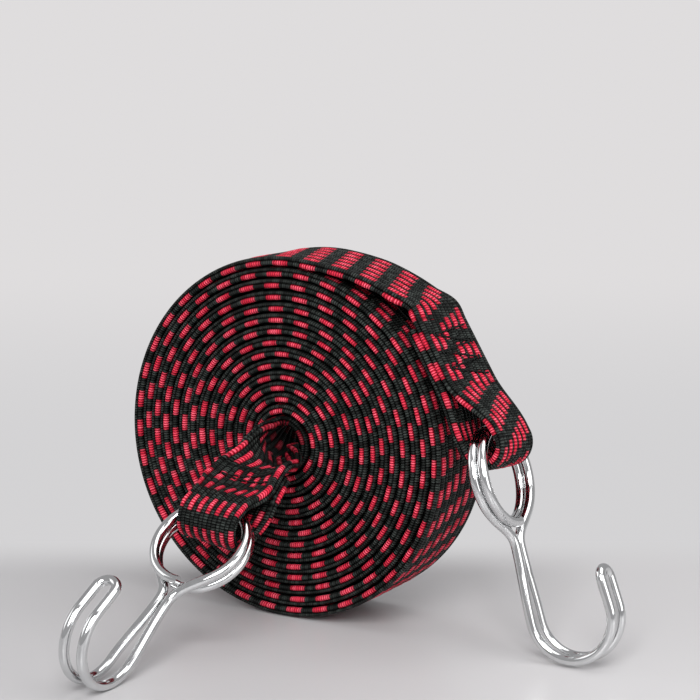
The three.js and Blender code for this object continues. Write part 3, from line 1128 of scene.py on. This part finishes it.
def new_material(name: str) -> tuple[bpy.types.Material, Graph, bpy.types.Node]:
    """Material with nodes.

    Args:
        name: Its name.

    Returns:
        The material, its graph and its Principled node, linked to the output.
    """
    material = bpy.data.materials.new(name)
    material.use_nodes = True
    graph = Graph(material.node_tree)
    material.node_tree.nodes.clear()
    shader = graph.add("ShaderNodeBsdfPrincipled")
    graph.add("ShaderNodeOutputMaterial", Surface=shader.outputs[0])
    return material, graph, shader


@dataclass(frozen=True)
class YarnFinish:
    """Textured yarn wound round rubber: red dashes on black, with each wrap showing, and painted shade and
    highlights.
    """

    red: tuple = (0.96, 0.034, 0.08, 1)
    # Painted highlight: paler pink on the crests of some red wraps.
    red_painted_highlight: tuple = (1.0, 0.15, 0.22, 1)
    painted_highlight_reach: tuple[float, float] = (0.2, 0.85)
    black: tuple = (0.024, 0.0282, 0.0258, 1)
    # Painted shade: the black between the wraps.
    black_wrap_painted_shade: tuple = (0.0012, 0.0015, 0.0014, 1)
    wraps: float = 12.0
    dash_share: float = 0.56
    dash_blur: float = 0.014
    rounding: float = 0.015
    # Painted shade: darker towards each rib's borders, in the grooves between ribs.
    groove_shade_start: float = 0.25
    groove_painted_shade: float = 0.06
    # Painted shade: each dash darkens from its middle towards its ends.
    dash_shade_start: float = 0.1
    dash_end_painted_shade: float = 0.62
    fleck_tones: tuple[float, float] = (0.78, 1.12)
    # Painted shade: the red darkened between the wraps.
    red_wrap_painted_shade: tuple = (0.3, 0.25, 0.28, 1)
    fuzz_scale: float = 2600.0
    fuzz_share: float = 0.3
    wrap_depth: float = 0.00034
    wrap_strength: float = 0.8
    roughness: float = 0.45
    shine: float = 0.08
    # Random tone of each black wrap, so bright on some wraps that it stands for painted glints.
    fleck_start: float = 0.3
    black_flecks_and_glints: tuple[float, float] = (0.65, 2.0)

    def wrap_group(self) -> bpy.types.NodeTree:
        """Node group that turns a place along a rib into its dash and its wraps.

        Returns:
            The group, which gives a mask of red, the wraps' height, painted shade towards the ribs' borders,
            flecks and painted shade towards the dashes' ends.
        """
        tree = bpy.data.node_groups.new("Yarn wraps", "ShaderNodeTree")
        graph = Graph(tree)
        for name in ("Phase", "Across", "Dashed", "Rib"):
            graph.socket(name, "NodeSocketFloat")
        for name in ("Red", "Height", "Groove", "Fleck", "Bulge"):
            graph.socket(name, "NodeSocketFloat", out=True)
        given = graph.add("NodeGroupInput").outputs
        cycle = graph.math("FRACT", given["Phase"])
        off_middle = graph.math("ABSOLUTE", graph.math("SUBTRACT", cycle, 0.5))
        side = graph.math("POWER", given["Across"], 2.0)
        edge = self.dash_share / 2
        rounded = graph.math("MULTIPLY_ADD", side, self.rounding, off_middle)
        dash = graph.remap(rounded, edge - self.dash_blur, edge + self.dash_blur, 1.0, 0.0)
        wrap = graph.math("MULTIPLY", given["Phase"], self.wraps)
        wave = graph.math("COSINE", graph.math("MULTIPLY", wrap, FULL_TURN))
        spot = graph.add("ShaderNodeCombineXYZ", X=graph.math("FLOOR", wrap), Y=given["Rib"])
        fleck = graph.add("ShaderNodeTexWhiteNoise", {"noise_dimensions": "2D"}, Vector=spot.outputs[0])
        graph.add(
            "NodeGroupOutput",
            Red=graph.math("MULTIPLY", dash, given["Dashed"]),
            Height=graph.math("MULTIPLY_ADD", wave, 0.5, 0.5),
            Groove=graph.remap(side, self.groove_shade_start, 1.0, 1.0, self.groove_painted_shade),
            Fleck=fleck.outputs["Value"],
            Bulge=graph.remap(off_middle, self.dash_shade_start, edge, 1.0, self.dash_end_painted_shade),
        )
        return tree

    def material(self) -> bpy.types.Material:
        """The strap's material.

        Returns:
            The material.
        """
        material, graph, shader = new_material("woven_yarn")
        read = {
            name: graph.add("ShaderNodeAttribute", {"attribute_name": name.lower()}).outputs["Fac"]
            for name in ("Phase", "Across", "Dashed", "Rib")
        }
        wraps = graph.add("ShaderNodeGroup", {"node_tree": self.wrap_group()}, **read).outputs
        # Painted shade deep in the roll, read from the mesh.
        light_share = graph.add("ShaderNodeAttribute", {"attribute_name": "light"}).outputs["Fac"]
        # Random tone of each black wrap, with painted glints on the brightest.
        flecks = graph.remap(wraps["Fleck"], self.fleck_start, 1.0, *self.black_flecks_and_glints)
        # Black yarn on the wraps' crests, painted shade between them.
        dark = graph.scaled(graph.colour("MIX", wraps["Height"], self.black_wrap_painted_shade, self.black), flecks)
        # Painted highlight on the crests of the red wraps, strongest on wraps with a high fleck and away
        # from the ribs' borders.
        painted_highlight_share = graph.math("MULTIPLY", wraps["Fleck"], wraps["Groove"])
        painted_highlight = graph.remap(graph.math("MULTIPLY", painted_highlight_share, wraps["Height"]), *self.painted_highlight_reach, 0.0, 1.0)
        # Painted shade that darkens the red between the wraps.
        wound = graph.colour("MIX", wraps["Height"], self.red_wrap_painted_shade, (1, 1, 1, 1))
        light = graph.colour("MULTIPLY", 1.0, graph.colour("MIX", painted_highlight, self.red, self.red_painted_highlight), wound)
        # Red dashes over the black, with painted shade towards each dash's ends.
        yarn = graph.colour("MIX", wraps["Red"], dark, graph.scaled(light, wraps["Bulge"]))
        # Random tone for each wrap, times painted shade towards the ribs' borders and painted shade deep in
        # the roll.
        tone = graph.remap(wraps["Fleck"], 0.0, 1.0, *self.fleck_tones)
        shade = graph.math("MULTIPLY", graph.math("MULTIPLY", tone, wraps["Groove"]), light_share)
        graph.put(shader.inputs["Base Color"], graph.scaled(yarn, shade))
        shader.inputs["Roughness"].default_value = self.roughness
        shader.inputs["Specular IOR Level"].default_value = self.shine
        fuzz = graph.noise(graph.place(), self.fuzz_scale, 2.0)
        height = graph.math("MULTIPLY_ADD", fuzz, self.fuzz_share, wraps["Height"])
        graph.bump(shader, height, self.wrap_strength, self.wrap_depth)
        return material


@dataclass(frozen=True)
class PlatedFinish:
    """Bright plated steel wire with a fine grain and a slight haze."""

    colour: tuple[float, float, float] = (0.7, 0.708, 0.712)
    tones: tuple[float, float] = (0.9, 1.0)
    haze: tuple[float, float] = (0.06, 0.14)
    cloud_scale: float = 160.0
    grain_scale: float = 900.0
    grain_strength: float = 0.02
    grain_depth: float = 0.0002

    def material(self) -> bpy.types.Material:
        """The hooks' material.

        Returns:
            The material.
        """
        material, graph, shader = new_material("plated_wire")
        place = graph.place()
        cloud = graph.noise(place, self.cloud_scale, 4.0)
        tone = graph.remap(cloud, 0.3, 0.7, *self.tones)
        graph.put(shader.inputs["Base Color"], graph.scaled(self.colour, tone))
        graph.put(shader.inputs["Roughness"], graph.remap(cloud, 0.3, 0.75, *self.haze))
        shader.inputs["Metallic"].default_value = 1.0
        graph.bump(shader, graph.noise(place, self.grain_scale, 3.0), self.grain_strength, self.grain_depth)
        return material


@dataclass(frozen=True)
class ThreadFinish:
    """Twisted black sewing thread, with painted shade between the plies."""

    light: tuple = (0.012, 0.0135, 0.013, 1)
    # Painted shade between the plies.
    dark: tuple = (0.002, 0.0024, 0.0024, 1)
    ply_scale: float = 900.0
    ply_strength: float = 0.5
    ply_depth: float = 0.0001
    roughness: float = 0.6
    shine: float = 0.12

    def material(self) -> bpy.types.Material:
        """The stitches' material.

        Returns:
            The material.
        """
        material, graph, shader = new_material("sewing_thread")
        wave = graph.add(
            "ShaderNodeTexWave", Vector=graph.place(), Scale=self.ply_scale, Distortion=1.5, Detail=1.0
        )
        ply = wave.outputs["Fac"]
        # Painted shade: the thread's black on the ply ridges, darker between them.
        graph.put(shader.inputs["Base Color"], graph.colour("MIX", ply, self.dark, self.light))
        shader.inputs["Roughness"].default_value = self.roughness
        shader.inputs["Specular IOR Level"].default_value = self.shine
        graph.bump(shader, ply, self.ply_strength, self.ply_depth)
        return material


def add_object(name: str, mesh: bpy.types.Mesh) -> bpy.types.Object:
    """Object at the origin, linked to the scene.

    Args:
        name: Its name.
        mesh: Its mesh.

    Returns:
        The object.
    """
    made = bpy.data.objects.new(name, mesh)
    bpy.context.scene.collection.objects.link(made)
    return made


def baked(piece: bpy.types.Object) -> bpy.types.Object:
    """Turns a piece's modifiers into its plain mesh.

    Args:
        piece: Piece with modifiers.

    Returns:
        The same piece.
    """
    bpy.context.view_layer.update()
    shown = piece.evaluated_get(bpy.context.evaluated_depsgraph_get())
    mesh = bpy.data.meshes.new_from_object(shown)
    piece.modifiers.clear()
    piece.data = mesh
    mesh.name = piece.name
    return piece


def path_object(name: str, points: list[np.ndarray]) -> bpy.types.Object:
    """Object with one line of edges through points.

    Args:
        name: Its name.
        points: Points in millimetres.

    Returns:
        The object.
    """
    mesh = bpy.data.meshes.new(name)
    spots = [tuple(p * MILLIMETRE) for p in points]
    mesh.from_pydata(spots, [(i, i + 1) for i in range(len(spots) - 1)], [])
    return add_object(name, mesh)


class Webbing:
    """Draws stretches of the strap as ribbed meshes."""

    def __init__(self, section: StrapSection, material: bpy.types.Material) -> None:
        """Keeps the section and the finish."""
        self.section = section
        self.material = material

    def draw(self, name: str, stations: list[Station], detail: Detail, lay: np.ndarray) -> bpy.types.Object:
        """One stretch as a closed mesh.

        Args:
            name: Piece name.
            stations: Places along it.
            detail: Whether its broad faces have their ribs.
            lay: Distance of each station along the strap.

        Returns:
            The piece.
        """
        ribs = self.section.ribs(detail)
        outline = np.array([p for rib in ribs for p in rib.points[:-1]])
        swell = np.concatenate([rib.swell()[:-1] for rib in ribs]) * self.section.swell
        owner = np.array([i for i, rib in enumerate(ribs) for _ in rib.points[:-1]])
        shift = np.array([rib.shift for rib in ribs])[owner]
        count, total = len(outline), len(stations)
        drag = np.array([[station.slip] for station in stations]) * np.sin(self.section.drag_rate * owner)
        phase = self.section.cycles(lay[:, None], shift + drag)
        thin = 0.5 + 0.5 * np.cos(FULL_TURN * phase)
        spots = np.concatenate([
            station.place(outline - swell * row[:, None]) for station, row in zip(stations, thin)
        ]) * MILLIMETRE
        first = np.arange(count)
        following = (first + 1) % count
        starts = np.arange(total - 1)[:, None] * count
        quads = np.stack(
            [starts + first, starts + following, starts + count + following, starts + count + first], axis=-1
        ).reshape(-1, 4)
        last = (total - 1) * count
        ends = [list(range(count - 1, -1, -1)), list(range(last, last + count))]
        mesh = bpy.data.meshes.new(name)
        mesh.from_pydata(spots.tolist(), [], quads.tolist() + ends)
        self._mark(mesh, ribs, owner, phase, np.array([station.light for station in stations]))
        rounded = np.arange(len(mesh.polygons)) < len(quads)
        mesh.polygons.foreach_set("use_smooth", rounded)
        mesh.materials.append(self.material)
        mesh.update()
        return add_object(name, mesh)

    @staticmethod
    def _mark(
        mesh: bpy.types.Mesh, ribs: list[Rib], owner: np.ndarray, phase: np.ndarray, light: np.ndarray,
    ) -> None:
        """Writes where each face's corners lie on the dash pattern, how each face is woven, and its painted
        shade.

        Args:
            mesh: Mesh of quads, span by span along the strap, and two end caps.
            ribs: Ribs round the section.
            owner: Rib of each column of quads.
            phase: Count of dashes at each station, for each column.
            light: Share of the light at each station, painted into the colour as shade.
        """
        woven = np.array([rib.weave.value for rib in ribs])[owner]
        spans = len(light) - 1
        corners = np.stack([phase[:-1], phase[:-1], phase[1:], phase[1:]], axis=-1)
        near = np.concatenate([rib.across()[:-1] for rib in ribs])
        far = np.concatenate([rib.across()[1:] for rib in ribs])
        across = np.tile(np.stack([near, far, far, near], axis=-1).ravel(), spans)
        caps = len(mesh.loops) - corners.size
        marks = (
            ("phase", "CORNER", np.concatenate([corners.ravel(), np.zeros(caps)])),
            ("across", "CORNER", np.concatenate([across, np.zeros(caps)])),
            ("light", "FACE", np.concatenate([np.repeat(light[1:], len(owner)), np.ones(2)])),
            ("dashed", "FACE", np.concatenate([np.tile(woven, spans), np.zeros(2)])),
            ("rib", "FACE", np.concatenate([np.tile(owner, spans), np.zeros(2)])),
        )
        for name, domain, values in marks:
            attribute = mesh.attributes.new(name, "FLOAT", domain)
            attribute.data.foreach_set("value", values.astype(np.float32))


class WireShop:
    """Draws round wires and rows of stitches along paths, by Geometry Nodes."""

    wire_sides = 20
    stitch_sides = 8
    stitch_rings = 6
    stitch_share = 0.98

    def __init__(self, wire: bpy.types.Material, thread: bpy.types.Material) -> None:
        """Makes the two node trees.

        Args:
            wire: The hooks' material.
            thread: The stitches' material.
        """
        self.wire = wire
        self.thread = thread
        self.wire_tree, self.wire_inputs = self._wire_tree()
        self.stitch_tree, self.stitch_inputs = self._stitch_tree()

    @staticmethod
    def _tree(name: str, inputs: dict[str, str]) -> tuple[bpy.types.NodeTree, Graph, dict[str, str], dict]:
        """Geometry tree with named inputs.

        Args:
            name: Its name.
            inputs: Socket types by name.

        Returns:
            The tree, its graph, the inputs' identifiers by name and its input sockets.
        """
        tree = bpy.data.node_groups.new(name, "GeometryNodeTree")
        graph = Graph(tree)
        graph.socket("Geometry", "NodeSocketGeometry")
        found = {key: graph.socket(key, kind) for key, kind in inputs.items()}
        graph.socket("Geometry", "NodeSocketGeometry", out=True)
        return tree, graph, found, graph.add("NodeGroupInput").outputs

    def _wire_tree(self) -> tuple[bpy.types.NodeTree, dict[str, str]]:
        """Tree that turns a line of edges into a round wire.

        Returns:
            The tree and its inputs' identifiers.
        """
        tree, graph, found, given = self._tree(
            "Round wire", {"Radius": "NodeSocketFloat", "Material": "NodeSocketMaterial"}
        )
        line = graph.add("GeometryNodeMeshToCurve", Mesh=given["Geometry"])
        ring = graph.add(
            "GeometryNodeCurvePrimitiveCircle", Resolution=self.wire_sides, Radius=given["Radius"]
        )
        tube = graph.add(
            "GeometryNodeCurveToMesh", Curve=line.outputs[0], Profile_Curve=ring.outputs[0], Fill_Caps=True
        )
        even = graph.add("GeometryNodeSetShadeSmooth", Geometry=tube.outputs[0])
        dressed = graph.add("GeometryNodeSetMaterial", Geometry=even.outputs[0], Material=given["Material"])
        graph.add("NodeGroupOutput", Geometry=dressed.outputs[0])
        return tree, found

    def _stitch_tree(self) -> tuple[bpy.types.NodeTree, dict[str, str]]:
        """Tree that lays short stitches end to end along a line of edges.

        Returns:
            The tree and its inputs' identifiers.
        """
        tree, graph, found, given = self._tree("Row of stitches", {
            "Pitch": "NodeSocketFloat", "Thickness": "NodeSocketFloat", "Material": "NodeSocketMaterial",
        })
        line = graph.add("GeometryNodeMeshToCurve", Mesh=given["Geometry"])
        rows = graph.add(
            "GeometryNodeCurveToPoints", {"mode": "LENGTH"}, Curve=line.outputs[0], Length=given["Pitch"]
        )
        ball = graph.add(
            "GeometryNodeMeshUVSphere", Segments=self.stitch_sides, Rings=self.stitch_rings, Radius=0.5
        )
        size = graph.add(
            "ShaderNodeCombineXYZ", X=graph.math("MULTIPLY", given["Pitch"], self.stitch_share),
            Y=given["Thickness"], Z=given["Thickness"],
        )
        aim = graph.add("FunctionNodeAlignRotationToVector", {"axis": "X"}, Vector=rows.outputs["Tangent"])
        laid = graph.add(
            "GeometryNodeInstanceOnPoints", Points=rows.outputs["Points"], Instance=ball.outputs["Mesh"],
            Rotation=aim.outputs[0], Scale=size.outputs[0],
        )
        real = graph.add("GeometryNodeRealizeInstances", Geometry=laid.outputs[0])
        even = graph.add("GeometryNodeSetShadeSmooth", Geometry=real.outputs[0])
        dressed = graph.add("GeometryNodeSetMaterial", Geometry=even.outputs[0], Material=given["Material"])
        graph.add("NodeGroupOutput", Geometry=dressed.outputs[0])
        return tree, found

    @staticmethod
    def _apply(piece: bpy.types.Object, tree: bpy.types.NodeTree, values: dict) -> bpy.types.Object:
        """Runs a tree on a piece and keeps the plain mesh.

        Args:
            piece: Piece to run it on.
            tree: Tree to run.
            values: Values by the inputs' identifiers.

        Returns:
            The piece with its plain mesh.
        """
        modifier = piece.modifiers.new(tree.name, "NODES")
        modifier.node_group = tree
        for identifier, value in values.items():
            modifier[identifier] = value
        return baked(piece)

    def hook(self, end: SewnEnd) -> bpy.types.Object:
        """The hook at one end of the strap.

        Args:
            end: Sewn end that holds it.

        Returns:
            The piece.
        """
        piece = path_object(f"{end.name}_hook_wire", end.hook_path())
        return self._apply(piece, self.wire_tree, {
            self.wire_inputs["Radius"]: end.wire.diameter / 2 * MILLIMETRE,
            self.wire_inputs["Material"]: self.wire,
        })

    def stitches(self, name: str, corners: list[np.ndarray], pitch: float, thick: float) -> bpy.types.Object:
        """A row of stitches along a seam.

        Args:
            name: Piece name.
            corners: Points along the seam.
            pitch: Length of a stitch in millimetres.
            thick: Thickness of the thread in millimetres.

        Returns:
            The piece.
        """
        return self._apply(path_object(name, corners), self.stitch_tree, {
            self.stitch_inputs["Pitch"]: pitch * MILLIMETRE,
            self.stitch_inputs["Thickness"]: thick * MILLIMETRE,
            self.stitch_inputs["Material"]: self.thread,
        })


@dataclass
class BungeeStrap:
    """The whole object: the strap in its three stretches, the sewing and the two hooks."""

    path: StrapPath = field(default_factory=StrapPath)
    stitch_pitch: float = 2.8
    stitch_thickness: float = 0.9

    def build(self) -> None:
        """Draws every piece and ties it to the frame."""
        webbing = Webbing(self.path.section, YarnFinish().material())
        shop = WireShop(PlatedFinish().material(), ThreadFinish().material())
        self._strap(webbing)
        for end in (self.path.rear, self.path.front):
            self._fittings(end, shop)

    def _strap(self, webbing: Webbing) -> None:
        """The three stretches of the strap, with one run of dashes through them.

        Args:
            webbing: What draws the stretches.
        """
        stands_for = {
            "outer": ("outer_lead_webbing", "outer_lead_rubber", "rear_loop_webbing", "rear_loop_rubber"),
            "rolled": ("roll_webbing", "roll_rubber"),
            "inner": ("inner_lead_webbing", "inner_lead_rubber", "front_loop_webbing", "front_loop_rubber"),
        }
        start = 0.0
        for name, stations in self.path.stretches().items():
            centres = np.array([station.centre for station in stations])
            steps = np.linalg.norm(np.diff(centres, axis=0), axis=1)
            lay = start + np.concatenate([[0.0], np.cumsum(steps)])
            detail = Detail.EDGES if name == "rolled" else Detail.FULL
            piece = webbing.draw(f"strap_{name}", stations, detail, lay)
            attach(piece, "strap")
            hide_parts(*stands_for[name])
            start = lay[-1]

    def _fittings(self, end: SewnEnd, shop: WireShop) -> None:
        """The hook and the sewing of one end.

        Args:
            end: Sewn end.
            shop: What draws wires and stitches.
        """
        hook = shop.hook(end)
        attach(hook, f"{end.name}_hook")
        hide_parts(f"{end.name}_hook")
        log.info("%s: %d faces", hook.name, len(hook.data.polygons))
        for thread, sign in (("needle", 1), ("bobbin", -1)):
            name = f"{end.name}_{thread}_stitches"
            row = shop.stitches(name, end.seam_path(sign), self.stitch_pitch, self.stitch_thickness)
            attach(row, "strap")
            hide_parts(f"{end.name}_{thread}_thread")
            log.info("%s: %d faces", row.name, len(row.data.polygons))


@dataclass(frozen=True)
class Lamp:
    """One soft square light, with its place and size in metres and its power in watts."""

    name: str
    place: tuple[float, float, float]
    size: float
    power: float


@dataclass(frozen=True)
class Studio:
    """Pale floor, painted brighter to the right as if lit from there, that fades into an even backdrop, soft
    lights and the camera, in metres and degrees.
    """

    camera_place: tuple = (0.41626, -0.66009, 0.24481)
    camera_yaw: float = 30.912
    camera_pitch: float = 9.81
    lens: float = 97.71
    sensor: float = 36.0
    lamps: tuple[Lamp, ...] = (
        Lamp("key", (0.55, -1.1, 0.95), 0.8, 20.5),
        Lamp("top", (0.5, 0.05, 1.5), 1.2, 9),
        Lamp("fill", (-1.1, -0.6, 0.7), 0.8, 2.5),
        Lamp("side", (1.2, -0.25, 0.55), 0.8, 5),
    )
    lamp_aim: tuple[float, float, float] = (0.03, -0.03, 0.06)
    surroundings: tuple = (0.8, 0.8, 0.82, 1)
    surroundings_strength: float = 0.38
    mirrored_backdrop: float = 0.25
    floor_half: float = 4.0
    # Painted light: the floor goes from a shaded tone on the left to a lit tone on the right.
    floor_shaded_left: tuple = (0.485, 0.477, 0.484, 1)
    floor_lit_right: tuple = (0.58, 0.568, 0.574, 1)
    floor_light_reach: tuple[float, float] = (-0.1, 0.22)
    backdrop_low: tuple = (0.655, 0.648, 0.658, 1)
    backdrop_high: tuple = (0.738, 0.722, 0.727, 1)
    backdrop_rise: tuple[float, float] = (0.25, 1.1)
    fade: tuple[float, float] = (0.04, 0.1)
    far_fade: tuple[float, float] = (0.3, 0.8)
    board_roughness: tuple[float, float] = (0.28, 0.36)
    board_shine: float = 0.4

    def build(self) -> None:
        """Makes the whole stage."""
        self._camera()
        self._world()
        self._floor()
        for lamp in self.lamps:
            self._light(lamp)

    def _camera(self) -> None:
        """Camera at the photo's place."""
        data = bpy.data.cameras.new("camera")
        data.lens = self.lens
        data.sensor_width = self.sensor
        camera = bpy.data.objects.new("camera", data)
        camera.location = self.camera_place
        camera.rotation_euler = (math.radians(90 - self.camera_pitch), 0, math.radians(self.camera_yaw))
        bpy.context.scene.collection.objects.link(camera)
        bpy.context.scene.camera = camera

    def _world(self) -> None:
        """Even pale surroundings, which show as the backdrop."""
        world = bpy.data.worlds.new("studio")
        world.use_nodes = True
        graph = Graph(world.node_tree)
        world.node_tree.nodes.clear()
        around = graph.add(
            "ShaderNodeBackground", Color=self.surroundings, Strength=self.surroundings_strength
        )
        shown = graph.add("ShaderNodeBackground", Color=self.backdrop_high, Strength=1.0)
        both = graph.blend(self._seen(graph, self.mirrored_backdrop), around, shown)
        graph.add("ShaderNodeOutputWorld", Surface=both)
        bpy.context.scene.world = world

    @staticmethod
    def _seen(graph: Graph, mirrored: float) -> Socket:
        """One where a surface is looked at, a share of that in a mirror, and nought where it only lights."""
        path = graph.add("ShaderNodeLightPath").outputs
        return graph.math("MULTIPLY_ADD", path["Is Glossy Ray"], mirrored, path["Is Camera Ray"])

    def _floor(self) -> None:
        """Flat floor under the roll."""
        half = self.floor_half
        mesh = bpy.data.meshes.new("floor")
        corners = [(-half, -half, 0), (half, -half, 0), (half, half, 0), (-half, half, 0)]
        mesh.from_pydata(corners, [], [(0, 1, 2, 3)])
        mesh.materials.append(self._floor_material())
        add_object("floor", mesh)

    @staticmethod
    def _along(graph: Graph, place: Socket, direction: tuple) -> Socket:
        """Distance of a place along a direction.

        Args:
            graph: Graph to add to.
            place: Place.
            direction: Direction of length one.

        Returns:
            The distance.
        """
        node = graph.add("ShaderNodeVectorMath", {"operation": "DOT_PRODUCT"}, Vector=place)
        node.inputs[1].default_value = direction
        return node.outputs["Value"]

    def _floor_material(self) -> bpy.types.Material:
        """Pale board with a soft shine, painted brighter to the right as if lit from there, which fades into
        the backdrop behind the object.

        Returns:
            The material.
        """
        material, graph, shader = new_material("pale_board")
        place = graph.place()
        cloud = graph.noise(place, 3.0, 2.0)
        yaw = math.radians(self.camera_yaw)
        aside = self._along(graph, place, (math.cos(yaw), math.sin(yaw), 0))
        behind = self._along(graph, place, (-math.sin(yaw), math.cos(yaw), 0))
        # Painted light: brighter to the right, as if lit from that side.
        tone = graph.remap(aside, *self.floor_light_reach, 0.0, 1.0)
        graph.put(shader.inputs["Base Color"], graph.colour("MIX", tone, self.floor_shaded_left, self.floor_lit_right))
        graph.put(shader.inputs["Roughness"], graph.remap(cloud, 0.2, 0.8, *self.board_roughness))
        shader.inputs["Specular IOR Level"].default_value = self.board_shine
        rise = graph.remap(behind, *self.backdrop_rise, 0.0, 1.0)
        shown = graph.colour("MIX", rise, self.backdrop_low, self.backdrop_high)
        glow = graph.add("ShaderNodeEmission", Color=shown, Strength=1.0)
        reach = graph.add("ShaderNodeVectorMath", {"operation": "LENGTH"}, Vector=place).outputs["Value"]
        beyond = graph.remap(behind, *self.fade, 0.0, 1.0)
        share = graph.math("MAXIMUM", beyond, graph.remap(reach, *self.far_fade, 0.0, 1.0))
        both = graph.blend(graph.math("MULTIPLY", share, self._seen(graph, 1.0)), shader, glow)
        graph.put(material.node_tree.get_output_node("ALL").inputs["Surface"], both)
        return material

    def _light(self, lamp: Lamp) -> None:
        """Adds a lamp, aimed at the roll.

        Args:
            lamp: The lamp.
        """
        data = bpy.data.lights.new(lamp.name, "AREA")
        data.shape = "SQUARE"
        data.size = lamp.size
        data.energy = lamp.power
        light = bpy.data.objects.new(lamp.name, data)
        light.location = lamp.place
        aim = bpy.data.objects.new(f"{lamp.name}_aim", None)
        aim.location = self.lamp_aim
        for made in (light, aim):
            bpy.context.scene.collection.objects.link(made)
        track = light.constraints.new("TRACK_TO")
        track.target = aim
        track.track_axis = "TRACK_NEGATIVE_Z"
        track.up_axis = "UP_Y"


def main() -> None:
    """Builds the scene."""
    logging.basicConfig(level=logging.INFO)
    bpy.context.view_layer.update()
    bpy.context.scene.view_settings.view_transform = "Standard"
    Studio().build()
    BungeeStrap().build()


if __name__ == "__main__":
    main()
